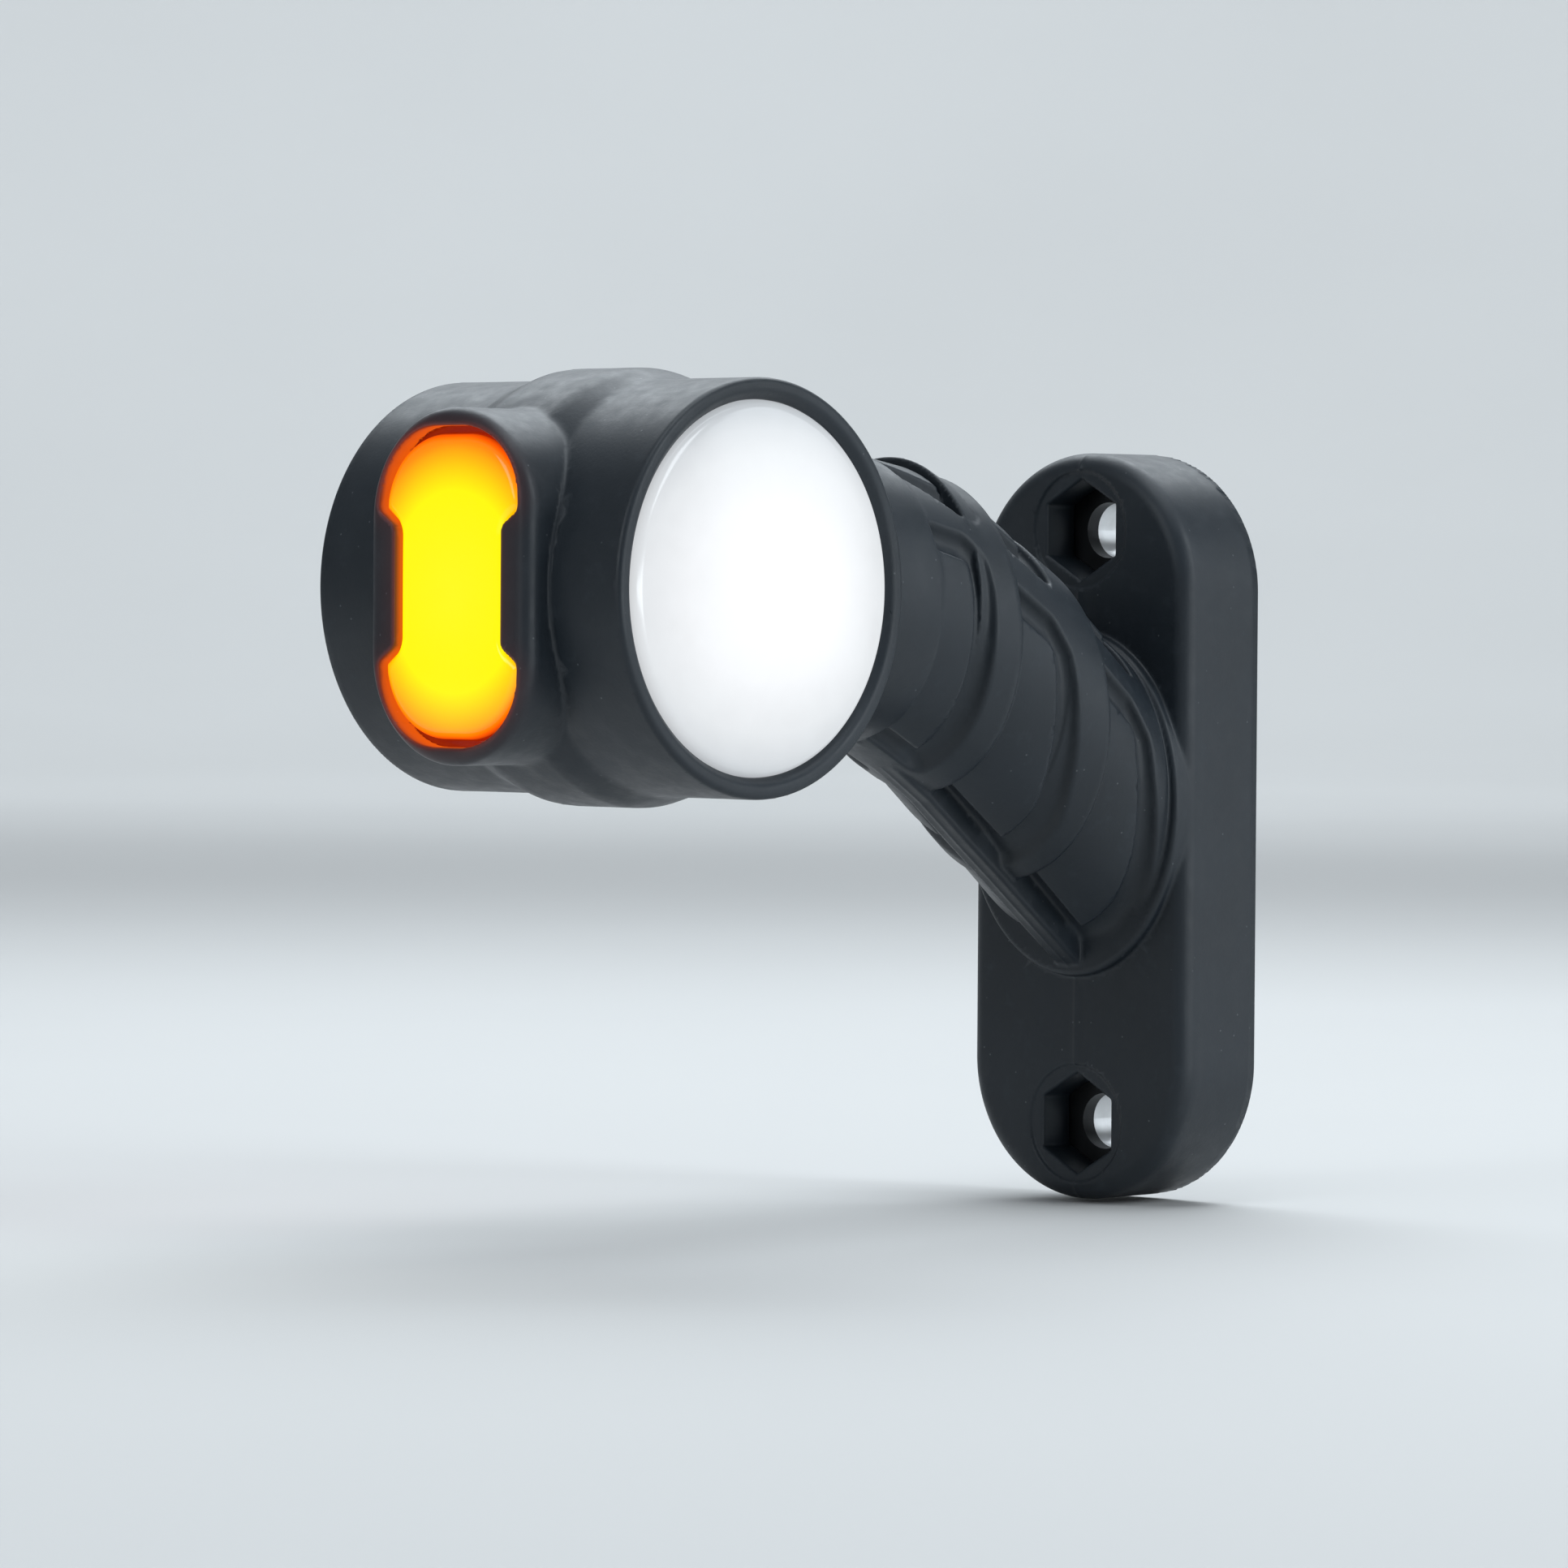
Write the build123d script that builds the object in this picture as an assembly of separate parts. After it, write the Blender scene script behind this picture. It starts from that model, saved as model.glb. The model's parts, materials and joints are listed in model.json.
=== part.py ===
from build123d import *
import os
from math import atan2, cos, hypot, pi, radians, sin, tan

# Flexible end-outline marker lamp on a rubber arm, for the side of a truck or trailer.
# Millimetres. The origin is the centre of the foot's back face, which bolts to the vehicle.
# +X points into the vehicle, +Z is up, the white lens faces -Y and the red lens faces +Y.

# ---- driving dimensions ------------------------------------------------------------------
# Foot
BOLT_SPACING = 70.0          # vertical distance between the two bolts
FOOT_HEIGHT = 88.1
FOOT_WIDTH = 33.0
FOOT_THICKNESS = 13.4
FOOT_EDGE = 2.2              # rounding of the foot's front edge
NUT_POCKET_AF = 10.3         # hexagonal pocket for an M6 nut or bolt head, across flats
NUT_POCKET_DEPTH = 5.5
BOLT_HOLE_R = 3.3            # M6 clearance
PLATE_HEIGHT = 82.0
PLATE_WIDTH = 24.0
PLATE_THICKNESS = 2.0
SLEEVE_R = 5.0

# Plug inlet in the foot's back
INLET_R = 7.5
INLET_CAVITY_R = 6.0
INLET_CAVITY_DEPTH = 8.5
INLET_FLOOR = 2.0
INLET_POTTING = 2.0
PIN_R = 0.8
PIN_PITCH = 6.8
PIN_TIP_X = -2.5
INLET_SEAL_R = 5.2           # inner radius of the plug's seal
INLET_SEAL_DEPTH = 1.0       # from the foot's back to the seal
INLET_SEAL_WIDTH = 1.4

# Head
HEAD_X = -93.2               # the head is a short cylinder along Y through this point
HEAD_Z = 27.74
HEAD_FRONT_Y = -22.5
HEAD_REAR_Y = 23.2
HEAD_R = 22.9
BARREL_R = 20.5
BARREL_BORE_R = 18.5
BAND_R = 24.2                # raised band round the middle of the head
BAND_FRONT_Y = -8.0
BAND_REAR_Y = 12.0
RIM_CHAMFER = 0.7

# Raised boss round the side lens
BOSS_X = -119.5
BOSS_HEIGHT = 38.7
BOSS_WIDTH = 24.6
BOSS_EDGE = 1.6
WINDOW_HEIGHT = 34.7
WINDOW_WIDTH = 20.3
WAIST_WIDTH = 15.6
WAIST_HEIGHT = 13.1
LUG_CHAMFER = 1.7

# Arm: ribbed rubber units between crests, sloping down from the head to the foot
ARM_CRESTS = [(-42.0, 15.5, 18.5), (-27.0, 16.0, 19.2), (-12.8, 15.5, 20.3)]
ARM_STEP_Y = 0.9             # how far a unit starts inside the crest before it
ARM_STEP_Z = 1.2
ARM_FOOT_Z = 3.0             # height of the arm's centre line at its last crest
ARM_FALL = 0.675             # drop of the centre line per unit of X
NECK_START_X = -82.0
NECK_END_X = -56.0
NECK_SEMI_Y = 14.2
NECK_SEMI_Z = 16.2
NECK_DROP = 0.6              # how far the neck's centre line lies below the head's axis
GROOVE_NEAR = 4.6            # side grooves, measured back from each crest
GROOVE_FAR = 8.3
GROOVE_DEPTH = 2.0
GROOVE_TOP_GAP = 11.0        # half the width left uncut on top
RIB_HALF = 1.9               # half thickness of the rib under the arm
RIB_DROP = 0.5               # how far the rib stands below the crests
RIB_START_X = -52.0

# Leads through the arm
LEAD_R = 0.9
LEAD_CHANNEL_R = 5.0
LEAD_ENTRY_X = HEAD_X + 10.5
LEAD_BENDS = [(-58.0, HEAD_Z), (-32.5, 11.5), (-18.0, 0.0)]   # X, Z where the route turns

# Lens stacks in the head, measured inwards from each end of the head
END_SET_BACK = 0.1
LENS_DISC = 2.2
LENS_CROWN = 0.7
LENS_EDGE = 0.9              # rounding of the lens's rim
SEAL_START = 5.0
SEAL_END = 5.8
DIFFUSER_START = 6.5
REFLECTOR_START = 7.5
BOARD_START = 13.5
BOARD_END = 15.1
LEDGE_END = 17.6
LEDGE_R = 13.5
STACK_R = 18.4
LED_CIRCLE_R = 9.3
LED_SIZE = 2.8
LED_THICKNESS = 1.0
CONE_MOUTH_R = 4.4           # light cone round each LED
CONE_THROAT_R = 2.3
SCREW_CIRCLE_R = 15.6
SCREW_SHANK_R = 0.8
SCREW_HEAD_R = 1.8
SCREW_HEAD_HEIGHT = 1.3
SCREW_ROOM = 0.3             # clearance round each screw head in the reflector

# Side lens stack, as X positions
SIDE_LENS_X = -118.3
SIDE_FLANGE_X = -116.6
SIDE_SEAL_X = -115.4
SIDE_HOUSING_X = -114.6
SIDE_BOARD_X = -108.0
SIDE_BOARD_THICKNESS = 1.2
SIDE_END_X = HEAD_X - 5.0    # inside the barrel's outline, which trims the stack
SIDE_LED_SIZE = 2.6
SIDE_LED_PITCH = 6.0
SIDE_LENS_CHAMFER = 0.4
SLIP = 0.1                   # clearance of a piece that drops into a housing
SIDE_FLANGE_HEIGHT = 36.6
SIDE_FLANGE_WIDTH = 22.2
SIDE_TUNNEL_HEIGHT = 32.4
SIDE_TUNNEL_WIDTH = 18.0
SIDE_APERTURE_WIDTH = 9.8
SIDE_APERTURE_HEIGHT = 25.8
SIDE_APERTURE_Y = 0.35

# Driver board between the two LED boards
DRIVER_HALF_WIDTH = 12.0
DRIVER_THICKNESS = 1.6
DRIVER_TOP_Z = HEAD_Z - LEAD_R
LINK_PIN_SIZE = 0.6
LINK_PIN_LENGTH = 2.6

os.makedirs("parts", exist_ok=True)


# ---- helpers -----------------------------------------------------------------------------
def facing_x(x, z=0.0, y=0.0):
    """Sketch plane across X: its own x is +Y and its own y is +Z."""
    return Plane(origin=(x, y, z), x_dir=(0, 1, 0), z_dir=(1, 0, 0))


def slot_x(height, width, x0, x1, z=0.0):
    """Upright slot-shaped prism from x0 to x1."""
    outline = SlotOverall(height, width, rotation=90)
    return extrude(facing_x(x0, z) * outline, x1 - x0)


def cylinder_x(radius, x0, x1, y=0.0, z=0.0):
    return extrude(facing_x(x0, z, y) * Circle(radius), x1 - x0)


def cylinder_head(radius, y0, y1, x=0.0, z=0.0):
    """Cylinder along Y, offset x and z from the head's axis."""
    plane = Plane(origin=(HEAD_X + x, y0, HEAD_Z + z), x_dir=(1, 0, 0), z_dir=(0, 1, 0))
    return extrude(plane * Circle(radius), y1 - y0)


def cone_head(r0, y0, r1, y1, x=0.0, z=0.0):
    """Cone along Y, offset x and z from the head's axis, with radius r0 at y0 and r1 at y1."""
    lower = Plane(origin=(HEAD_X + x, y0, HEAD_Z + z), x_dir=(1, 0, 0), z_dir=(0, 1, 0))
    upper = Plane(origin=(HEAD_X + x, y1, HEAD_Z + z), x_dir=(1, 0, 0), z_dir=(0, 1, 0))
    return loft([lower * Circle(r0), upper * Circle(r1)])


def box(x0, x1, y0, y1, z0, z1):
    centre = ((x0 + x1) / 2, (y0 + y1) / 2, (z0 + z1) / 2)
    return Pos(*centre) * Box(x1 - x0, y1 - y0, z1 - z0)


def on_circle(radius, count, start=0.0):
    """Points around the head's axis, as X and Z offsets."""
    angles = [radians(start + 360 * i / count) for i in range(count)]
    return [(radius * cos(a), radius * sin(a)) for a in angles]


def arm_centre_z(x):
    return ARM_FOOT_Z - ARM_FALL * (x - ARM_CRESTS[-1][0])


def arm_section(x, semi_y, semi_z, z=None):
    centre = arm_centre_z(x) if z is None else z
    return facing_x(x, centre) * Ellipse(semi_y, semi_z)


def save(name, shape):
    export_step(shape, f"parts/{name}.step")


# ---- lead route and channel --------------------------------------------------------------
def lead_points():
    """X and Z of the lead's route, from the driver board to the inlet pin."""
    inlet_end = -(INLET_CAVITY_DEPTH + INLET_FLOOR)
    return [(LEAD_ENTRY_X, HEAD_Z), *LEAD_BENDS, (inlet_end, 0.0)]


def bend_radii(points):
    radii = []
    for before, here, after in zip(points, points[1:], points[2:]):
        run_in = hypot(here[0] - before[0], here[1] - before[1])
        run_out = hypot(after[0] - here[0], after[1] - here[1])
        heading_in = atan2(here[1] - before[1], here[0] - before[0])
        heading_out = atan2(after[1] - here[1], after[0] - here[0])
        half_turn = abs(heading_out - heading_in) / 2
        radii.append(0.45 * min(run_in, run_out) / tan(half_turn))
    return radii


def tube_along_route(radius, y, points):
    path = FilletPolyline(*[(x, y, z) for x, z in points], radius=bend_radii(points))
    start = Plane(origin=path @ 0, z_dir=path % 0)
    return sweep(start * Circle(radius), path=path), path.length


def lead_channel():
    """Passage for the leads, from the barrel's wall to the inlet's potting."""
    return tube_along_route(LEAD_CHANNEL_R, 0.0, lead_points())[0]


# ---- rubber moulding ---------------------------------------------------------------------
def arm_unit(index):
    """One rubber unit, from the crest before it to its own crest, with side grooves."""
    x_start, y_start, z_start = ARM_CRESTS[index - 1]
    x_end, y_end, z_end = ARM_CRESTS[index]
    start = (y_start - ARM_STEP_Y, z_start - ARM_STEP_Z)
    body = loft([arm_section(x_start, *start), arm_section(x_end, y_end, z_end)], ruled=True)
    return body + arm_rib(x_start, x_end) - side_grooves(x_end, y_end, z_end)


def arm_rib(x0, x1):
    """Rib under the arm, along the parting line."""
    drop = ARM_CRESTS[1][2] + RIB_DROP
    outline = [(x, arm_centre_z(x) - depth) for x, depth in ((x0, 0), (x1, 0), (x1, drop), (x0, drop))]
    plane = Plane(origin=(0, 0, 0), x_dir=(1, 0, 0), z_dir=(0, -1, 0))
    return extrude(plane * make_face(Polyline(*outline, close=True)), RIB_HALF, both=True)


def side_grooves(crest_x, semi_y, semi_z):
    """Two grooves round the sides, stopping at the rib below and at the flat strip on top."""
    x0 = crest_x - GROOVE_FAR
    x1 = crest_x - GROOVE_NEAR
    reach = 30.0
    centre = arm_centre_z((x0 + x1) / 2)
    slab = box(x0, x1, -reach, reach, centre - reach, centre + reach)
    inner = (semi_y - ARM_STEP_Y - GROOVE_DEPTH, semi_z - ARM_STEP_Z - GROOVE_DEPTH)
    core = loft([arm_section(x0 - 1, *inner), arm_section(x1 + 1, *inner)], ruled=True)
    rib = box(x0 - 1, x1 + 1, -RIB_HALF, RIB_HALF, centre - reach, centre)
    strip = box(x0 - 1, x1 + 1, -GROOVE_TOP_GAP, GROOVE_TOP_GAP, centre, centre + reach)
    return slab - core - rib - strip


def rubber_foot():
    pad = slot_x(FOOT_HEIGHT, FOOT_WIDTH, -FOOT_THICKNESS, 0)
    front = pad.edges().filter_by_position(Axis.X, -FOOT_THICKNESS - 0.1, -FOOT_THICKNESS + 0.1)
    foot = fillet(front, FOOT_EDGE) + arm_unit(2)
    back = NUT_POCKET_DEPTH - FOOT_THICKNESS
    hexagon = RegularPolygon(NUT_POCKET_AF / 2, 6, major_radius=False, rotation=30)
    for z in (-BOLT_SPACING / 2, BOLT_SPACING / 2):
        foot -= extrude(facing_x(-FOOT_THICKNESS - 1, z) * hexagon, back + FOOT_THICKNESS + 1)
        foot -= cylinder_x(SLEEVE_R, back, 1, z=z)
    foot -= slot_x(PLATE_HEIGHT, PLATE_WIDTH, back, back + PLATE_THICKNESS)
    foot -= cylinder_x(INLET_R, -(INLET_CAVITY_DEPTH + INLET_FLOOR + INLET_POTTING), 1)
    return foot - lead_channel()


def arm_flex_section():
    return arm_unit(1) - lead_channel()


def rubber_head_shell():
    shell = cylinder_head(HEAD_R, HEAD_FRONT_Y, HEAD_REAR_Y)
    band = cylinder_head(BAND_R, BAND_FRONT_Y, BAND_REAR_Y)
    boss = slot_x(BOSS_HEIGHT, BOSS_WIDTH, BOSS_X, HEAD_X, HEAD_Z)
    boss = fillet(boss.edges().filter_by_position(Axis.X, BOSS_X - 0.1, BOSS_X + 0.1), BOSS_EDGE)
    neck = extrude(
        arm_section(NECK_START_X, NECK_SEMI_Y, NECK_SEMI_Z, HEAD_Z - NECK_DROP), NECK_END_X - NECK_START_X
    )
    crest_x, semi_y, semi_z = ARM_CRESTS[0]
    first_unit = loft(
        [
            arm_section(NECK_END_X, NECK_SEMI_Y, NECK_SEMI_Z, HEAD_Z - NECK_DROP),
            arm_section(crest_x, semi_y, semi_z),
        ],
        ruled=True,
    )
    first_unit = first_unit + arm_rib(RIB_START_X, crest_x) - side_grooves(crest_x, semi_y, semi_z)
    shell = shell + band + boss + neck + first_unit
    shell -= cylinder_head(BARREL_R, HEAD_FRONT_Y - 1, HEAD_REAR_Y + 1)
    rims = (HEAD_FRONT_Y, -RIM_CHAMFER), (HEAD_REAR_Y, RIM_CHAMFER)
    for y, outward in rims:
        shell -= cone_head(BARREL_R, y - outward, BARREL_R + RIM_CHAMFER, y + outward * 0.001)
    shell -= slot_x(SIDE_FLANGE_HEIGHT, SIDE_FLANGE_WIDTH, SIDE_FLANGE_X, HEAD_X, HEAD_Z)
    shell -= extrude(facing_x(BOSS_X - 1, HEAD_Z) * window_outline(), SIDE_FLANGE_X - BOSS_X + 1)
    return shell - lead_channel()


def window_outline():
    """Upright slot with two lugs that narrow its waist."""
    outline = SlotOverall(WINDOW_HEIGHT, WINDOW_WIDTH, rotation=90)
    half = WAIST_HEIGHT / 2
    outer = WINDOW_WIDTH / 2 + 1
    inner = WAIST_WIDTH / 2
    spread = half + LUG_CHAMFER
    for side in (-1, 1):
        lug = [(side * outer, -spread), (side * inner, -half), (side * inner, half), (side * outer, spread)]
        outline -= make_face(Polyline(*lug, close=True))
    return outline


# ---- foot parts --------------------------------------------------------------------------
def foot_backing_plate():
    back = NUT_POCKET_DEPTH - FOOT_THICKNESS
    plate = slot_x(PLATE_HEIGHT, PLATE_WIDTH, back, back + PLATE_THICKNESS)
    plate -= cylinder_x(INLET_R, back - 1, 0)
    for z in (-BOLT_SPACING / 2, BOLT_SPACING / 2):
        plate -= cylinder_x(BOLT_HOLE_R, back - 1, 0, z=z)
    return plate


def bolt_sleeves():
    start = NUT_POCKET_DEPTH - FOOT_THICKNESS + PLATE_THICKNESS
    sleeves = []
    for z in (-BOLT_SPACING / 2, BOLT_SPACING / 2):
        sleeves.append(cylinder_x(SLEEVE_R, start, 0, z=z) - cylinder_x(BOLT_HOLE_R, start - 1, 1, z=z))
    return Compound(children=sleeves)


def inlet_socket_shell():
    floor = -(INLET_CAVITY_DEPTH + INLET_FLOOR)
    shell = cylinder_x(INLET_R, floor, 0) - cylinder_x(INLET_CAVITY_R, -INLET_CAVITY_DEPTH, 1)
    for y in (-PIN_PITCH / 2, PIN_PITCH / 2):
        shell -= cylinder_x(PIN_R, floor - 1, 0, y=y)
    return shell


def inlet_pins():
    floor = -(INLET_CAVITY_DEPTH + INLET_FLOOR)
    tip = 0.5
    pins = []
    for y in (-PIN_PITCH / 2, PIN_PITCH / 2):
        shank = cylinder_x(PIN_R, floor, PIN_TIP_X, y=y)
        pins.append(chamfer(shank.edges().group_by(Axis.X)[-1], tip))
    return Compound(children=pins)


def inlet_seal():
    start = -INLET_SEAL_DEPTH - INLET_SEAL_WIDTH
    return cylinder_x(INLET_CAVITY_R, start, -INLET_SEAL_DEPTH) - cylinder_x(INLET_SEAL_R, start - 1, 0)


def inlet_potting():
    start = -(INLET_CAVITY_DEPTH + INLET_FLOOR)
    resin = cylinder_x(INLET_R, start - INLET_POTTING, start)
    for y in (-PIN_PITCH / 2, PIN_PITCH / 2):
        resin -= cylinder_x(LEAD_R, start - INLET_POTTING - 1, start + 1, y=y)
    return resin


# ---- lamp barrel and lens stacks ---------------------------------------------------------
class End:
    """One end of the head: depth 0 is the lens face and depth grows towards the middle."""

    def __init__(self, face_y, inward):
        self.face_y = face_y
        self.inward = inward

    def y(self, depth):
        return self.face_y + self.inward * depth

    def disc(self, radius, depth0, depth1, x=0.0, z=0.0):
        y0, y1 = sorted((self.y(depth0), self.y(depth1)))
        return cylinder_head(radius, y0, y1, x, z)

    def cone(self, r0, depth0, r1, depth1, x=0.0, z=0.0):
        return cone_head(r0, self.y(depth0), r1, self.y(depth1), x, z)


FRONT = End(HEAD_FRONT_Y + END_SET_BACK, 1)
REAR = End(HEAD_REAR_Y - END_SET_BACK, -1)


def lamp_barrel():
    barrel = cylinder_head(BARREL_R, FRONT.y(SEAL_END), REAR.y(SEAL_END))
    barrel -= cylinder_head(BARREL_BORE_R, FRONT.y(0), REAR.y(0))
    for end in (FRONT, REAR):
        ledge = end.disc(BARREL_BORE_R, BOARD_END, LEDGE_END) - end.disc(LEDGE_R, BOARD_END - 1, LEDGE_END + 1)
        for x, z in on_circle(SCREW_CIRCLE_R, 3, 30):
            ledge -= end.disc(SCREW_SHANK_R, BOARD_END - 1, LEDGE_END + 1, x, z)
        barrel += ledge
    half_y = SIDE_APERTURE_WIDTH / 2
    half_z = SIDE_APERTURE_HEIGHT / 2
    barrel -= box(
        HEAD_X - 30, HEAD_X - 10,
        SIDE_APERTURE_Y - half_y, SIDE_APERTURE_Y + half_y,
        HEAD_Z - half_z, HEAD_Z + half_z,
    )
    return barrel - cylinder_x(LEAD_CHANNEL_R, HEAD_X + 8, HEAD_X + 30, z=HEAD_Z)


def end_lens(end):
    """Round lens with a shallow crown and a skirt that seats on the seal."""
    middle = (HEAD_X, end.y(-LENS_CROWN))
    quarter = (HEAD_X + BARREL_R / 2, end.y(-LENS_CROWN * 0.8))
    shoulder = (HEAD_X + BARREL_R - LENS_EDGE, end.y(0))
    corner = (HEAD_X + BARREL_R - 0.3 * LENS_EDGE, end.y(0.3 * LENS_EDGE))
    edge = (HEAD_X + BARREL_R, end.y(LENS_EDGE))
    inside = [
        edge,
        (HEAD_X + BARREL_R, end.y(SEAL_START)),
        (HEAD_X + BARREL_BORE_R, end.y(SEAL_START)),
        (HEAD_X + BARREL_BORE_R, end.y(LENS_DISC)),
        (HEAD_X, end.y(LENS_DISC)),
        middle,
    ]
    outline = [ThreePointArc(middle, quarter, shoulder), ThreePointArc(shoulder, corner, edge), Polyline(*inside)]
    profile = Pos(0, 0, HEAD_Z) * make_face(outline)
    return revolve(profile, Axis((HEAD_X, 0, HEAD_Z), (0, 1, 0)))


def end_seal(end):
    return end.disc(BARREL_R, SEAL_START, SEAL_END) - end.disc(BARREL_BORE_R, SEAL_START - 1, SEAL_END + 1)


def end_diffuser(end):
    return end.disc(STACK_R, DIFFUSER_START, REFLECTOR_START)


def end_reflector(end):
    """White moulding with one cone for each LED and pockets for the screw heads."""
    body = end.disc(STACK_R, REFLECTOR_START, BOARD_START)
    for x, z in [(0, 0), *on_circle(LED_CIRCLE_R, 6)]:
        body -= end.cone(CONE_MOUTH_R, REFLECTOR_START - 0.01, CONE_THROAT_R, BOARD_START + 0.01, x, z)
    pocket = BOARD_START - SCREW_HEAD_HEIGHT - SCREW_ROOM
    for x, z in on_circle(SCREW_CIRCLE_R, 3, 30):
        body -= end.disc(SCREW_HEAD_R + SCREW_ROOM, pocket, BOARD_START + 0.1, x, z)
    return body


def end_board(end):
    board = end.disc(STACK_R, BOARD_START, BOARD_END)
    for x, z in on_circle(SCREW_CIRCLE_R, 3, 30):
        board -= end.disc(SCREW_SHANK_R, BOARD_START - 1, BOARD_END + 1, x, z)
    return board


def end_led(end, x, z):
    """Square LED package standing on an LED board of the head."""
    half = LED_SIZE / 2
    y0, y1 = sorted((end.y(BOARD_START - LED_THICKNESS), end.y(BOARD_START)))
    return box(HEAD_X + x - half, HEAD_X + x + half, y0, y1, HEAD_Z + z - half, HEAD_Z + z + half)


def end_leds(end):
    spots = [(0, 0), *on_circle(LED_CIRCLE_R, 6)]
    return Compound(children=[end_led(end, x, z) for x, z in spots])


def board_screws():
    screws = []
    for end in (FRONT, REAR):
        for x, z in on_circle(SCREW_CIRCLE_R, 3, 30):
            head = end.disc(SCREW_HEAD_R, BOARD_START - SCREW_HEAD_HEIGHT, BOARD_START, x, z)
            screws.append(head + end.disc(SCREW_SHANK_R, BOARD_START, LEDGE_END - 0.4, x, z))
    return Compound(children=screws)


# ---- side lens stack ---------------------------------------------------------------------
def side_lens():
    plate = extrude(facing_x(SIDE_LENS_X, HEAD_Z) * window_outline(), SIDE_FLANGE_X - SIDE_LENS_X)
    face = plate.edges().group_by(Axis.X)[0]
    plate = chamfer(face, SIDE_LENS_CHAMFER)
    return plate + slot_x(SIDE_FLANGE_HEIGHT, SIDE_FLANGE_WIDTH, SIDE_FLANGE_X, SIDE_SEAL_X, HEAD_Z)


def side_lens_seal():
    ring = slot_x(SIDE_FLANGE_HEIGHT, SIDE_FLANGE_WIDTH, SIDE_SEAL_X, SIDE_HOUSING_X, HEAD_Z)
    return ring - slot_x(SIDE_TUNNEL_HEIGHT, SIDE_TUNNEL_WIDTH, SIDE_SEAL_X - 1, SIDE_HOUSING_X + 1, HEAD_Z)


def side_housing():
    tube = slot_x(SIDE_FLANGE_HEIGHT, SIDE_FLANGE_WIDTH, SIDE_HOUSING_X, SIDE_END_X, HEAD_Z)
    tube -= slot_x(SIDE_TUNNEL_HEIGHT, SIDE_TUNNEL_WIDTH, SIDE_HOUSING_X - 1, HEAD_X, HEAD_Z)
    return tube - cylinder_head(BARREL_R, HEAD_FRONT_Y, HEAD_REAR_Y)


def side_diffuser():
    height = SIDE_TUNNEL_HEIGHT - 2 * SLIP
    width = SIDE_TUNNEL_WIDTH - 2 * SLIP
    return slot_x(height, width, SIDE_SEAL_X, SIDE_HOUSING_X, HEAD_Z)


def side_reflector():
    """White funnel from the side LEDs out to the side diffuser."""
    height = SIDE_TUNNEL_HEIGHT - SLIP
    width = SIDE_TUNNEL_WIDTH - SLIP
    funnel = slot_x(height, width, SIDE_HOUSING_X, SIDE_END_X, HEAD_Z)
    funnel -= cylinder_head(BARREL_R, HEAD_FRONT_Y, HEAD_REAR_Y)
    half_y = SIDE_APERTURE_WIDTH / 2 - SLIP
    half_z = SIDE_APERTURE_HEIGHT / 2 - SLIP
    funnel += box(
        HEAD_X - BARREL_R - 0.2, SIDE_BOARD_X,
        SIDE_APERTURE_Y - half_y, SIDE_APERTURE_Y + half_y,
        HEAD_Z - half_z, HEAD_Z + half_z,
    )
    throat = RectangleRounded(2 * half_y - 1.2, 2 * half_z - 2.4, 3.0)
    plane = Plane(origin=(SIDE_BOARD_X, SIDE_APERTURE_Y, HEAD_Z), x_dir=(0, 1, 0), z_dir=(-1, 0, 0))
    return funnel - extrude(plane * throat, SIDE_BOARD_X - SIDE_HOUSING_X, taper=-24)


def side_led_board():
    half_y = SIDE_APERTURE_WIDTH / 2 - SLIP
    half_z = SIDE_APERTURE_HEIGHT / 2 - SLIP
    return box(
        SIDE_BOARD_X, SIDE_BOARD_X + SIDE_BOARD_THICKNESS,
        SIDE_APERTURE_Y - half_y, SIDE_APERTURE_Y + half_y,
        HEAD_Z - half_z, HEAD_Z + half_z,
    )


def side_leds():
    half = SIDE_LED_SIZE / 2
    leds = []
    for step in (-1.5, -0.5, 0.5, 1.5):
        z = HEAD_Z + step * SIDE_LED_PITCH
        leds.append(box(
            SIDE_BOARD_X - LED_THICKNESS, SIDE_BOARD_X,
            SIDE_APERTURE_Y - half, SIDE_APERTURE_Y + half,
            z - half, z + half,
        ))
    return Compound(children=leds)


# ---- driver board ------------------------------------------------------------------------
def on_driver_board(x, y, length, width, height):
    """Block standing on the driver board, centred x from the head's axis and at y."""
    return box(
        HEAD_X + x - length / 2, HEAD_X + x + length / 2,
        y - width / 2, y + width / 2,
        DRIVER_TOP_Z, DRIVER_TOP_Z + height,
    )


def driver_board():
    return box(
        HEAD_X - DRIVER_HALF_WIDTH, HEAD_X + DRIVER_HALF_WIDTH,
        FRONT.y(BOARD_END), REAR.y(BOARD_END),
        DRIVER_TOP_Z - DRIVER_THICKNESS, DRIVER_TOP_Z,
    )


def driver_capacitors():
    cans = []
    for x, y, radius, height in ((-8.6, -2.4, 2.4, 7.0), (-8.6, 3.2, 2.4, 7.0)):
        plane = Plane(origin=(HEAD_X + x, y, DRIVER_TOP_Z))
        cans.append(extrude(plane * Circle(radius), height))
    return Compound(children=cans)


def driver_resistors():
    spots = [(2.6 + 2.4 * i, y) for i in range(3) for y in (-5.0, 5.6)]
    return Compound(children=[on_driver_board(x, y, 1.6, 0.8, 0.5) for x, y in spots])


def board_link_pins():
    pins = []
    for x in (-4.0, -2.0, 0.0):
        for end in (FRONT, REAR):
            middle = end.y(BOARD_END + LINK_PIN_LENGTH / 2)
            pins.append(on_driver_board(x, middle, LINK_PIN_SIZE, LINK_PIN_LENGTH, LINK_PIN_SIZE))
    return Compound(children=pins)


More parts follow.
